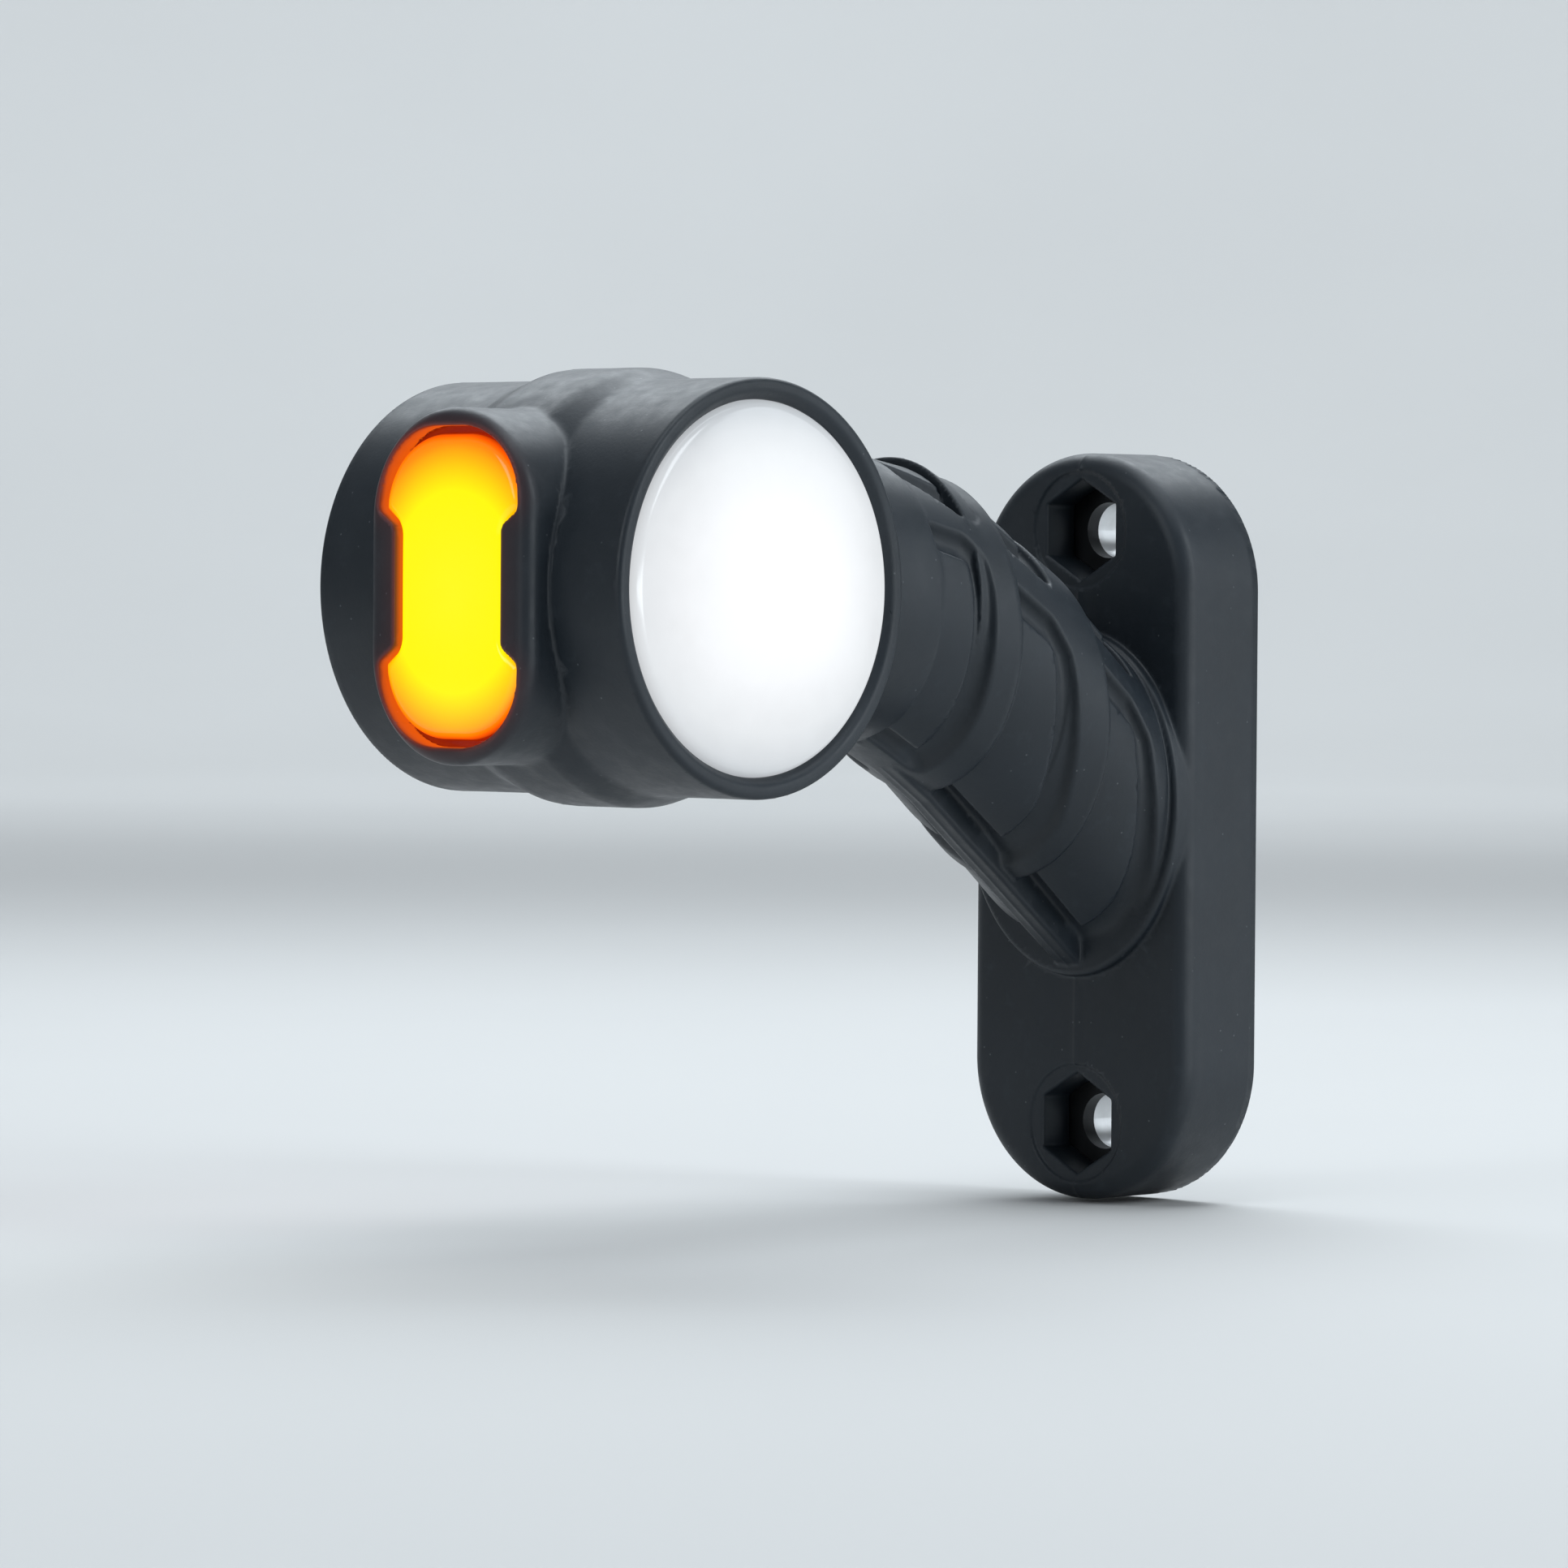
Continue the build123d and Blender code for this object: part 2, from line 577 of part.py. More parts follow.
def entry_potting():
    """Resin plug round the leads where they enter the barrel."""
    plug = cylinder_x(LEAD_CHANNEL_R, HEAD_X + BARREL_R - 5.0, HEAD_X + BARREL_R, z=HEAD_Z)
    for y in (-PIN_PITCH / 2, PIN_PITCH / 2):
        plug -= cylinder_x(LEAD_R, HEAD_X + 10, HEAD_X + 25, y=y, z=HEAD_Z)
    return plug


# ---- write every node --------------------------------------------------------------------
save("rubber_foot", rubber_foot())
save("arm_flex_section", arm_flex_section())
save("rubber_head_shell", rubber_head_shell())

save("foot_backing_plate", foot_backing_plate())
save("bolt_sleeves", bolt_sleeves())
save("inlet_socket_shell", inlet_socket_shell())
save("inlet_pins", inlet_pins())
save("inlet_seal", inlet_seal())
save("inlet_potting", inlet_potting())

print("lead bend radii", [round(radius, 1) for radius in bend_radii(lead_points())])
for name, y in (("lead_positive", -PIN_PITCH / 2), ("lead_negative", PIN_PITCH / 2)):
    lead, length = tube_along_route(LEAD_R, y, lead_points())
    ratio = lead.volume / (pi * LEAD_R**2 * length)
    print(name, "length", round(length, 1), "volume ratio", round(ratio, 4))
    save(name, lead)

save("lamp_barrel", lamp_barrel())
for name, end in (("front", FRONT), ("rear", REAR)):
    save(f"{name}_lens", end_lens(end))
    save(f"{name}_lens_seal", end_seal(end))
    save(f"{name}_diffuser", end_diffuser(end))
    save(f"{name}_reflector", end_reflector(end))
    save(f"{name}_led_board", end_board(end))
    save(f"{name}_leds", end_leds(end))
save("board_screws", board_screws())

save("side_lens", side_lens())
save("side_lens_seal", side_lens_seal())
save("side_housing", side_housing())
save("side_diffuser", side_diffuser())
save("side_reflector", side_reflector())
save("side_led_board", side_led_board())
save("side_leds", side_leds())

save("driver_board", driver_board())
save("driver_chip", on_driver_board(0.0, 0.3, 5.0, 4.0, 1.5))
save("driver_inductor", on_driver_board(6.4, 0.3, 5.6, 4.6, 4.0))
save("driver_capacitors", driver_capacitors())
save("driver_resistors", driver_resistors())
save("driver_diode", on_driver_board(-3.6, 0.3, 2.0, 4.2, 2.0))
save("board_link_pins", board_link_pins())
save("entry_potting", entry_potting())
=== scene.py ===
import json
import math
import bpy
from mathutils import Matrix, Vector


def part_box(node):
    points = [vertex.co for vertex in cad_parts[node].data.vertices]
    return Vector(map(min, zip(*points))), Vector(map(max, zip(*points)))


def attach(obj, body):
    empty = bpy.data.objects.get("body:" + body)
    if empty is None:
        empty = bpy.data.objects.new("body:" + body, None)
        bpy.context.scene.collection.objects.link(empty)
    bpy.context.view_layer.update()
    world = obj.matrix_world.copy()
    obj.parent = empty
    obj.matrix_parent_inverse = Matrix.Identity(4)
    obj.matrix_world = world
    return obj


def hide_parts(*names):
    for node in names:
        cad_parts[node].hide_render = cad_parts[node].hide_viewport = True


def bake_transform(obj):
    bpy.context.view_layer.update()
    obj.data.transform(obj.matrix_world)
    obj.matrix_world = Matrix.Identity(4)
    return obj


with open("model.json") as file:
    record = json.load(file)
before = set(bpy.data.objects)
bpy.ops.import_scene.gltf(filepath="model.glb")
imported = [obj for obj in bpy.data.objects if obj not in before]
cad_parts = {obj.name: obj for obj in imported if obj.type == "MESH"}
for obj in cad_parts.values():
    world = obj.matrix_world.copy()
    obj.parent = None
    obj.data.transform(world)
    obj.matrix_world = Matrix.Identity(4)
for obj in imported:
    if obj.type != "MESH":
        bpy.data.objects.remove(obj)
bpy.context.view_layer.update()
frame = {"nodes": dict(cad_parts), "record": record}

# Outline marker lamp on a flexible rubber arm. The rubber moulding is one mesh made from a signed
# distance field, and the three lenses and the two leads are detailed pieces of their own.
from types import SimpleNamespace

import bmesh
import bpy
import numpy as np
import openvdb
from mathutils import Matrix, Vector

MM = 0.001


def node_box(node):
    """Lowest and highest corner of a CAD node, in millimetres."""
    low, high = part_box(node)
    return [round(v / MM, 3) for v in low], [round(v / MM, 3) for v in high]


# ---- driving dimensions, in millimetres, from the frame where it states them --------------
FOOT_LOW, FOOT_HIGH = node_box("rubber_foot")
BARREL_LOW, BARREL_HIGH = node_box("lamp_barrel")
SHELL_LOW, SHELL_HIGH = node_box("rubber_head_shell")
FRONT_LENS_LOW, FRONT_LENS_HIGH = node_box("front_lens")
REAR_LENS_LOW, REAR_LENS_HIGH = node_box("rear_lens")
SIDE_LENS_LOW, SIDE_LENS_HIGH = node_box("side_lens")
PLATE_LOW, PLATE_HIGH = node_box("foot_backing_plate")
INLET_LOW, INLET_HIGH = node_box("inlet_potting")
SLEEVE_LOW, SLEEVE_HIGH = node_box("bolt_sleeves")

FOOT_HALF_HEIGHT = (FOOT_HIGH[2] - FOOT_LOW[2]) / 2
FOOT_HALF_WIDTH = (FOOT_HIGH[1] - FOOT_LOW[1]) / 2
FOOT_FRONT_X = -13.4
FOOT_EDGE = 2.3
FOOT_BACK_EDGE = 0.3
BOLT_Z = (SLEEVE_HIGH[2] + SLEEVE_LOW[2]) / 2 + 35.0
NUT_POCKET_HALF = 5.15       # half the pocket's width across flats
POCKET_RING_R = 6.9
POCKET_RING_DEPTH = 0.3
PLATE_BITE = 0.5             # how far a pocket runs past the steel plate's face
SLEEVE_R = (SLEEVE_HIGH[1] - SLEEVE_LOW[1]) / 2

HEAD_X = (BARREL_LOW[0] + BARREL_HIGH[0]) / 2
HEAD_Z = (BARREL_LOW[2] + BARREL_HIGH[2]) / 2
BARREL_R = (BARREL_HIGH[0] - BARREL_LOW[0]) / 2
HEAD_FRONT_Y = SHELL_LOW[1]
HEAD_REAR_Y = SHELL_HIGH[1]
HEAD_R = 22.9
HEAD_RIM_EDGE = 0.7
MOUTH_DEPTH = 1.0            # chamfer at each mouth of the bore
MOUTH_SLOPE = 0.9
BAND_RISE = 1.28
BAND_FRONT = (-8.9, -4.9)     # Y where the band starts to rise, and where it is full
BAND_REAR = (4.6, 8.2)
BOSS_X = SHELL_LOW[0]
BOSS_HALF_WIDTH = 12.1
BOSS_HALF_HEIGHT = 19.35
BOSS_EDGE = 1.7
WINDOW_HALF_WIDTH = 10.45
WINDOW_HALF_HEIGHT = 17.35
WAIST_HALF_WIDTH = 8.0
WINDOW_CORNER = 8.6
WAIST_HALF_HEIGHT = 6.55
LUG_CHAMFER = 1.7
SIDE_LENS_CROWN = -119.2
SIDE_LENS_TOP = 16.5
SIDE_FLANGE_X = SIDE_LENS_LOW[0] + 1.7
SPILL_REACH = 1.5            # how quickly the side lens's light fades on the rubber round it
SPILL_FADE = 0.45            # how deep behind the boss's face that light starts to show

# Stations of the arm as X, centre Z, half width in Y and half height in Z.
NECK = [(-93.0, 27.7, 14.2, 15.6), (-64.0, 27.3, 14.4, 16.2), (-54.6, 26.8, 14.75, 16.45)]
CRESTS = [NECK[-1], (-41.6, 22.6, 15.7, 18.4), (-26.5, 12.7, 16.2, 19.0), (-13.4, 2.8, 15.1, 18.9)]
CREST_STEPS = [(0.12, 0.10), (0.5, 0.8), (0.5, 0.8)]   # how far a unit starts inside the one before
CREST_EDGE = 0.7
HIDDEN_RUN = 6.0             # how far a unit runs on inside the one before it
ARM_TURN_R = 16.5
BASE_RING = (2.8, 16.25, 20.4)   # centre Z, half width, half height
BASE_RING_X = -14.8
BASE_RING_EDGE = 0.6

# Middle lines of the grooves of each unit as X and degrees above the arm's side.
SIDE_GROOVES = [
    [(-55.5, 26.0), (-49.6, 26.0), (-48.2, 21.0), (-47.9, 12.0), (-47.7, -20.0), (-47.4, -56.0),
     (-47.6, -72.0), (-56.5, -70.0)],
    [(-42.5, 13.5), (-36.0, 14.0), (-34.5, 9.0), (-34.0, 1.0), (-33.5, -12.0), (-32.3, -33.0),
     (-31.1, -50.0), (-30.6, -79.0), (-42.5, -80.0)],
    [(-27.5, 15.5), (-21.3, 16.0), (-19.6, 11.0), (-19.2, 0.0), (-18.4, -13.0), (-17.0, -31.0),
     (-16.1, -50.0), (-15.9, -79.0), (-27.5, -80.0)],
]
TOP_GROOVES = [
    [(-55.0, 66.0), (-46.4, 46.0), (-46.3, 95.0)],
    [(-42.5, 43.0), (-34.5, 43.0), (-34.3, 95.0)],
    [(-27.5, 44.0), (-18.7, 44.0), (-18.4, 95.0)],
]
GROOVE_HALF = 1.8
GROOVE_DEPTH = 1.55
GROOVE_DRAFT = math.tan(math.radians(24))
GROOVE_EDGE = 0.3
GROOVE_FILLET = 0.8

# Lower edge of the rib under the arm as X and Z.
RIB_LINE = [(-66.0, 12.0), (-52.2, 10.0), (-46.4, 6.3), (-41.6, 3.4), (-34.9, -1.6), (-29.1, -5.8),
            (-24.0, -9.6), (-16.4, -15.2), (-12.0, -18.0)]
RIB_START_X = -62.0
RIB_HALF = 1.9
RIB_FALL = 0.68              # drop of the rib per unit of X
RIB_DEPTH = 14               # how far it reaches up into the arm
RIB_EDGE = 0.5
SEAM_HALF = 0.45
SEAM_RISE = 0.13
LEAD_CHANNEL_R = 5.0
LEAD_R = 0.9
LEAD_BENDS = [(-58.0, HEAD_Z), (-32.5, 11.5), (-18.0, 0.0)]     # X, Z where the route turns
LEAD_RUN = [(HEAD_X + 10.5, HEAD_Z), *LEAD_BENDS, (-10.5, 0.0)]
CHANNEL_RUN = [(HEAD_X + 12.0, HEAD_Z), *LEAD_BENDS, (-9.0, 0.0)]

# Lenses
LENS_EDGE = 1.3              # rounding of every lens's rim
LENS_SKIRT = 2.0             # wall of an end lens's skirt
LENS_THICKNESS = 2.2
LENS_SLIP = 0.12             # gap between the side lens and its window

# Fillets where the parts of the moulding meet, and edges where they are cut
UNIT_JOIN = 0.2
RIB_JOIN = 0.3
ARM_JOIN = 0.9
BOSS_JOIN = 0.35
RING_JOIN = 0.3
FOOT_JOIN = 0.25
RING_CUT = 0.12
POCKET_CUT = 0.3
BORE_CUT = 0.25

# Camera: turn about Z, tilt and roll in degrees, place in metres, focal length in millimetres
CAMERA_TURN = (-47.93, 1.40, 0.39)
CAMERA_PLACE = (-0.71084, -0.58294, 0.02700)
CAMERA_LENS = 176.9

VOXEL = 0.3
THIN_OUT = 0.01              # how readily flat stretches of the moulding share a face


# ---- signed distance fields ---------------------------------------------------------------
class Grid:
    """A regular grid of points, in millimetres. Fields on it are negative inside the solid."""

    def __init__(self, low, high, step):
        self.low = np.array(low, np.float32)
        self.step = step
        counts = np.ceil((np.array(high) - np.array(low)) / step).astype(int) + 1
        axes = [low[i] + step * np.arange(counts[i], dtype=np.float32) for i in range(3)]
        self.shape = tuple(int(n) for n in counts)
        self.x = axes[0][:, None, None]
        self.y = axes[1][None, :, None]
        self.z = axes[2][None, None, :]

    def span(self, x0, x1):
        """The slice of the grid between two X positions, with its own x."""
        i0 = max(int((x0 - self.low[0]) / self.step), 0)
        i1 = min(int((x1 - self.low[0]) / self.step) + 2, self.shape[0])
        part = Grid.__new__(Grid)
        part.low, part.step = self.low, self.step
        part.x, part.y, part.z = self.x[i0:i1], self.y, self.z
        part.shape = (i1 - i0, self.shape[1], self.shape[2])
        return slice(i0, i1), part


def join(a, b, radius):
    """Union of two fields with a round fillet between them."""
    ua = np.maximum(radius - a, 0)
    ub = np.maximum(radius - b, 0)
    return np.maximum(radius, np.minimum(a, b)) - np.hypot(ua, ub)


def meet(a, b, radius):
    """Intersection of two fields with a rounded edge."""
    ua = np.maximum(radius + a, 0)
    ub = np.maximum(radius + b, 0)
    return np.minimum(-radius, np.maximum(a, b)) + np.hypot(ua, ub)


def cut(a, b, radius):
    """Field a with b taken away, leaving a rounded edge."""
    return meet(a, -b, radius)


def stadium(across, along, half_width, half_length):
    """Distance to an upright slot outline."""
    return np.hypot(across, np.maximum(np.abs(along) - (half_length - half_width), 0)) - half_width


def rounded_box(across, along, half_width, half_length, corner):
    """Distance to an upright box outline with large round corners."""
    out_x = np.abs(across) - (half_width - corner)
    out_y = np.abs(along) - (half_length - corner)
    inside = np.minimum(np.maximum(out_x, out_y), 0)
    return np.hypot(np.maximum(out_x, 0), np.maximum(out_y, 0)) + inside - corner


def to_segment(px, py, a, b):
    """Squared distance from points to the segment from a to b."""
    dx, dy = b[0] - a[0], b[1] - a[1]
    t = np.clip(((px - a[0]) * dx + (py - a[1]) * dy) / (dx * dx + dy * dy), 0, 1)
    return (px - a[0] - t * dx) ** 2 + (py - a[1] - t * dy) ** 2


def to_path(px, py, points):
    """Squared distance from points to a line of segments."""
    nearest = None
    for a, b in zip(points, points[1:]):
        d = to_segment(px, py, a, b)
        nearest = d if nearest is None else np.minimum(nearest, d)
    return nearest


def mesh_from_field(name, grid, field, thin_out=0.0):
    """Closed mesh of the field's surface, its points settled on it and its normals taken from it."""
    volume = openvdb.FloatGrid(3.0)
    volume.copyFromArray(np.ascontiguousarray(field, dtype=np.float32))
    points, triangles, quads = volume.convertToPolygons(0.0, thin_out)
    points = np.asarray(points, np.float64)
    for _ in range(2):
        points = settle(points, field)
    faces = [tuple(int(i) for i in f) for f in quads] + [tuple(int(i) for i in f) for f in triangles]
    mesh = bpy.data.meshes.new(name)
    mesh.from_pydata(((points * grid.step + grid.low) * MM).tolist(), [], faces)
    bm = bmesh.new()
    bm.from_mesh(mesh)
    if bm.calc_volume(signed=True) < 0:
        bmesh.ops.reverse_faces(bm, faces=bm.faces)
    bm.to_mesh(mesh)
    bm.free()
    mesh.shade_smooth()
    normals = slope(points, field)
    normals /= np.maximum(np.linalg.norm(normals, axis=1, keepdims=True), 1e-9)
    mesh.normals_split_custom_set_from_vertices(normals.tolist())
    obj = bpy.data.objects.new(name, mesh)
    bpy.context.scene.collection.objects.link(obj)
    return obj


def sample(field, points):
    """Trilinear value of the field at points in grid units."""
    top = np.array(field.shape) - 2
    base = np.clip(np.floor(points).astype(int), 0, top)
    f = points - base
    total = 0
    for i in (0, 1):
        for j in (0, 1):
            for k in (0, 1):
                weight = (f[:, 0] if i else 1 - f[:, 0]) * (f[:, 1] if j else 1 - f[:, 1])
                weight = weight * (f[:, 2] if k else 1 - f[:, 2])
                total = total + weight * field[base[:, 0] + i, base[:, 1] + j, base[:, 2] + k]
    return total


def slope(points, field):
    """Gradient of the field at points in grid units."""
    reach = 0.5
    return np.stack([(sample(field, points + d) - sample(field, points - d)) / (2 * reach)
                     for d in np.eye(3) * reach], axis=1)


def settle(points, field):
    """Move points one Newton step towards the field's zero, at most half a cell."""
    steep = slope(points, field)
    size = np.maximum((steep ** 2).sum(1), 1e-6)
    move = -steep * (sample(field, points) / size)[:, None]
    length = np.linalg.norm(move, axis=1, keepdims=True)
    return points + move * np.minimum(1, 0.5 / np.maximum(length, 1e-9))


# ---- the rubber moulding ------------------------------------------------------------------
def foot_pad(g):
    """Upright oval pad, with the mould's seam on its face."""
    side = stadium(g.y, g.z, FOOT_HALF_WIDTH, FOOT_HALF_HEIGHT)
    pad = meet(side, FOOT_FRONT_X - g.x - seam(g.y), FOOT_EDGE)
    return meet(pad, g.x, FOOT_BACK_EDGE)


def nut_pocket(g, z):
    """Hexagonal pocket with a corner at the top, down to the steel plate."""
    up = g.z - z
    flats = np.abs(up) * math.cos(math.radians(30)) + np.abs(g.y) * 0.5
    hexagon = np.maximum(np.abs(g.y), flats) - NUT_POCKET_HALF
    return np.maximum(hexagon, g.x - PLATE_LOW[0] - PLATE_BITE)


def pocket_ring(g, z):
    """Shallow round step pressed into the face round each pocket."""
    around = np.hypot(g.y, g.z - z) - POCKET_RING_R
    return np.maximum(around, g.x - FOOT_FRONT_X - POCKET_RING_DEPTH)


def foot_cavities(g):
    """Spaces for the steel plate, the two sleeves and the plug inlet."""
    half_width = (PLATE_HIGH[1] - PLATE_LOW[1]) / 2
    half_height = (PLATE_HIGH[2] - PLATE_LOW[2]) / 2
    plate = stadium(g.y, g.z, half_width, half_height)
    space = np.maximum(plate, np.maximum(PLATE_LOW[0] - g.x, g.x - PLATE_HIGH[0]))
    inlet = np.hypot(g.y, g.z) - (INLET_HIGH[1] - INLET_LOW[1]) / 2
    space = np.minimum(space, np.maximum(inlet, INLET_LOW[0] - g.x))
    for z in (-BOLT_Z, BOLT_Z):
        sleeve = np.hypot(g.y, g.z - z) - SLEEVE_R
        space = np.minimum(space, np.maximum(sleeve, PLATE_LOW[0] - g.x))
    return space


def oval(g, stations):
    """Tapered oval bar through stations, as distance, and its own height and turn coordinates."""
    table = np.array(stations, np.float32)
    x = g.x.ravel()
    centre, semi_y, semi_z = (np.interp(x, table[:, 0], table[:, i])[:, None, None].astype(np.float32)
                              for i in (1, 2, 3))
    fall = np.gradient(centre.ravel(), x)[:, None, None].astype(np.float32)
    ny = g.y / semi_y
    nz = (g.z - centre) / semi_z
    reach = np.sqrt(ny ** 2 + nz ** 2) + 1e-4
    steep = np.sqrt((ny / semi_y) ** 2 + (nz / semi_z) ** 2 * (1 + fall ** 2)) + 1e-5
    distance = (reach - 1) * reach / steep
    turn = np.arctan2(nz, np.abs(ny)) * ARM_TURN_R
    return distance, turn


def headward(start, end):
    """The station a little further towards the head on a unit's own line, and slightly smaller."""
    share = HIDDEN_RUN / (end[0] - start[0])
    centre_z = start[1] - (end[1] - start[1]) * share
    return (start[0] - HIDDEN_RUN, centre_z, start[2] - 1.0, start[3] - 1.0)


def arm_unit(g, stations, side_route, top_route):
    """One rubber unit: a flared collar whose end stands proud of the next unit, with its grooves."""
    distance, turn = oval(g, stations)
    body = meet(distance, g.x - stations[-1][0], CREST_EDGE)
    body = np.maximum(body, stations[0][0] - g.x)
    for route in (side_route, top_route):
        body = cut(body, groove(g, distance, turn, route), GROOVE_EDGE)
    return body


def groove(g, distance, turn, route):
    """Flat-bottomed groove with drafted walls, along a route over the arm's surface."""
    line = [(x, math.radians(degrees) * ARM_TURN_R) for x, degrees in route]
    across = np.sqrt(to_path(g.x, turn, line))
    walls = across - GROOVE_HALF - distance * GROOVE_DRAFT
    return meet(walls, -distance - GROOVE_DEPTH, GROOVE_FILLET)


def arm_rib(g):
    """Rib along the parting line under the arm, with the thin raised seam down its middle."""
    table = np.array(RIB_LINE, np.float32)
    line = np.interp(g.x.ravel(), table[:, 0], table[:, 1])[:, None, None].astype(np.float32)
    under = (line - g.z) / math.hypot(1, RIB_FALL) - seam(g.y)
    rib = meet(np.abs(g.y) - RIB_HALF, under, RIB_EDGE)
    return np.maximum(rib, np.maximum(RIB_START_X - g.x, g.z - line - RIB_DEPTH))


def seam(across):
    """Height of the thin seam the mould halves leave, by the distance from it."""
    return SEAM_RISE * np.maximum(0, 1 - np.abs(across) / SEAM_HALF)


def arm(g):
    """Plain neck and three units."""
    body = meet(oval(g, NECK)[0], g.x - NECK[-1][0], 0.5)
    for before, crest, step, side, top in zip(CRESTS, CRESTS[1:], CREST_STEPS, SIDE_GROOVES, TOP_GROOVES):
        start = (before[0], before[1], before[2] - step[0], before[3] - step[1])
        unit = arm_unit(g, [headward(start, crest), start, crest], side, top)
        body = join(body, unit, UNIT_JOIN)
    return join(body, arm_rib(g), RIB_JOIN)


def base_ring(g):
    """Oval ring on the foot's face that the arm grows out of."""
    centre, half_y, half_z = BASE_RING
    reach = np.hypot(g.y / half_y, (g.z - centre) / half_z)
    side = (reach - 1) * (half_y + half_z) / 2
    return np.maximum(meet(side, BASE_RING_X - g.x, BASE_RING_EDGE), g.x + 8.0)


def ramp_up(value, start, end, soft=0.5):
    """Straight ramp from 0 to 1 with softly rounded corners."""
    edge = soft / abs(end - start)
    t = (value - start) / (end - start)
    low = np.where(t < edge, (np.clip(t + edge, 0, None) ** 2) / (4 * edge), t)
    high = np.where(t > 1 - edge, 1 - (np.clip(1 + edge - t, 0, None) ** 2) / (4 * edge), low)
    return high.astype(np.float32)


def head_sleeve(g):
    """Round sleeve with a raised band and thin rounded rims."""
    out_x, up = g.x - HEAD_X, g.z - HEAD_Z
    band = BAND_RISE * ramp_up(g.y, *BAND_FRONT) * ramp_up(g.y, BAND_REAR[1], BAND_REAR[0])
    side = np.hypot(out_x, up) - HEAD_R - band
    ends = np.abs(g.y - (HEAD_FRONT_Y + HEAD_REAR_Y) / 2) - (HEAD_REAR_Y - HEAD_FRONT_Y) / 2
    return meet(side, ends, HEAD_RIM_EDGE)


def boss(g):
    """Upright block round the side window, with a softly rounded front edge."""
    side = stadium(g.y, g.z - HEAD_Z, BOSS_HALF_WIDTH, BOSS_HALF_HEIGHT)
    block = meet(side, BOSS_X - g.x, BOSS_EDGE)
    return np.maximum(block, g.x - HEAD_X)


def window(g, clearance=0.0):
    """Outline of the side window: an upright slot with two lugs at its waist."""
    up = np.abs(g.z - HEAD_Z)
    outline = rounded_box(g.y, g.z - HEAD_Z, WINDOW_HALF_WIDTH, WINDOW_HALF_HEIGHT, WINDOW_CORNER)
    lean = LUG_CHAMFER / (WINDOW_HALF_WIDTH - WAIST_HALF_WIDTH)
    flank = (up - WAIST_HALF_HEIGHT - (np.abs(g.y) - WAIST_HALF_WIDTH) * lean) / math.hypot(1, lean)
    lug = meet(WAIST_HALF_WIDTH - np.abs(g.y), flank, 0.5)
    return meet(outline, -lug, 0.4) - clearance


def head_cavities(g):
    """Bore for the barrel and lenses, with chamfered mouths, and the side window."""
    around = np.hypot(g.x - HEAD_X, g.z - HEAD_Z) - BARREL_R
    past_front = HEAD_FRONT_Y + MOUTH_DEPTH - g.y
    past_rear = g.y - HEAD_REAR_Y + MOUTH_DEPTH
    space = around - np.maximum(0, np.maximum(past_front, past_rear)) * MOUTH_SLOPE
    flange = stadium(g.y, g.z - HEAD_Z, (SIDE_LENS_HIGH[1] - SIDE_LENS_LOW[1]) / 2,
                     (SIDE_LENS_HIGH[2] - SIDE_LENS_LOW[2]) / 2)
    space = np.minimum(space, np.maximum(flange, np.maximum(SIDE_FLANGE_X - g.x, g.x - HEAD_X)))
    return np.minimum(space, np.maximum(window(g), g.x - HEAD_X))


def mark_spill(obj):
    """Store at each point of the rubber how much of the side lens's light it catches."""
    mesh = obj.data
    points = np.empty(len(mesh.vertices) * 3, np.float32)
    mesh.vertices.foreach_get("co", points)
    points = points.reshape(-1, 3) / MM
    at = SimpleNamespace(x=points[:, 0], y=points[:, 1], z=points[:, 2])
    depth = np.maximum(at.x - BOSS_X, 0)
    away = np.maximum(window(at), 0) * (1 + 1.5 * depth) + np.maximum(at.x - SIDE_FLANGE_X, 0)
    away = away + 0.9 * np.exp(-depth / SPILL_FADE)
    spill = np.exp(-away / SPILL_REACH)
    spill[at.x > HEAD_X] = 0
    # This share drives the painted glow in the rubber's emission.
    mesh.attributes.new("painted_lens_spill", "FLOAT", "POINT").data.foreach_set("value", spill.astype(np.float32))


def lead_channel(g):
    """Round channel through the arm for the two leads."""
    route = to_path(g.x, g.z, CHANNEL_RUN)
    return np.sqrt(route + g.y ** 2) - LEAD_CHANNEL_R


def build_rubber():
    """Foot, arm and head sleeve as one moulding, hollow where its inner pieces sit."""
    low = [SHELL_LOW[0] - 2.5 * VOXEL, -math.ceil(26.5 / VOXEL) * VOXEL, FOOT_LOW[2] - 2.5 * VOXEL]
    high = [2.5 * VOXEL, SHELL_HIGH[1] + 3.0, HEAD_Z + HEAD_R + BAND_RISE + 2.0]
    grid = Grid(low, high, VOXEL)
    field = np.full(grid.shape, 6.0, np.float32)

    where, g = grid.span(SHELL_LOW[0] - 3, HEAD_X + 34)
    field[where] = join(head_sleeve(g), boss(g), BOSS_JOIN)
    where, g = grid.span(-90.0, CRESTS[-1][0] + 3)
    field[where] = join(field[where], arm(g), ARM_JOIN)
    where, g = grid.span(FOOT_FRONT_X - 7, 3)
    foot = join(foot_pad(g), base_ring(g), RING_JOIN)
    field[where] = join(field[where], foot, FOOT_JOIN)
    for z in (-BOLT_Z, BOLT_Z):
        field[where] = cut(field[where], pocket_ring(g, z), RING_CUT)
        field[where] = cut(field[where], nut_pocket(g, z), POCKET_CUT)
    field[where] = np.maximum(field[where], -foot_cavities(g))
    where, g = grid.span(SHELL_LOW[0] - 3, HEAD_X + 34)
    field[where] = cut(field[where], head_cavities(g), BORE_CUT)
    where, g = grid.span(HEAD_X + 8, 0)
    field[where] = np.maximum(field[where], -lead_channel(g))
    return mesh_from_field("rubber_moulding", grid, field, THIN_OUT)


